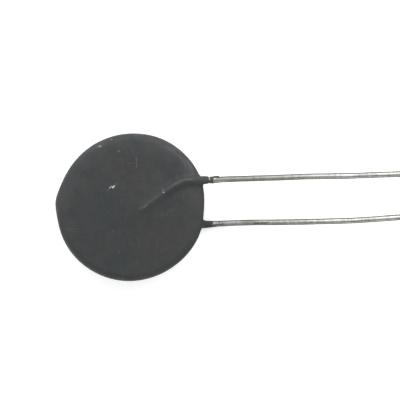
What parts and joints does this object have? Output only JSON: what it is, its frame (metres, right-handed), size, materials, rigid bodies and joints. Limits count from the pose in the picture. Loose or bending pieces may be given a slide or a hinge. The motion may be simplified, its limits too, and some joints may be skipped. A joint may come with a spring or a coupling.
{
  "type": "ntc thermistor",
  "caption": "Disc-type power NTC thermistor lying flat: dark resin-dipped disc with two parallel radial wire leads from one edge.",
  "frame": {"origin": "middle of the overall length from the disc's far edge to the lead tips, on the surface that the part lies on", "axes": "+X along the leads towards their tips, +Y towards the lead of the upper face, +Z out of the upper face"},
  "size_m": [0.0617, 0.0248, 0.0065],
  "materials": {
    "resin_coating": "matt dipped silicone resin, dark grey",
    "thermistor_ceramic": "sintered metal oxide, near black",
    "fired_silver": "fired silver print, satin",
    "solder": "tin solder, bright",
    "tinned_copper": "hot-tinned copper wire"
  },
  "bodies": {
    "root": {"coating": "resin_coating", "ceramic_disc": "thermistor_ceramic", "front_electrode": "fired_silver", "rear_electrode": "fired_silver", "front_solder": "solder", "rear_solder": "solder", "front_lead": "tinned_copper", "rear_lead": "tinned_copper"}
  },
  "joints": []
}
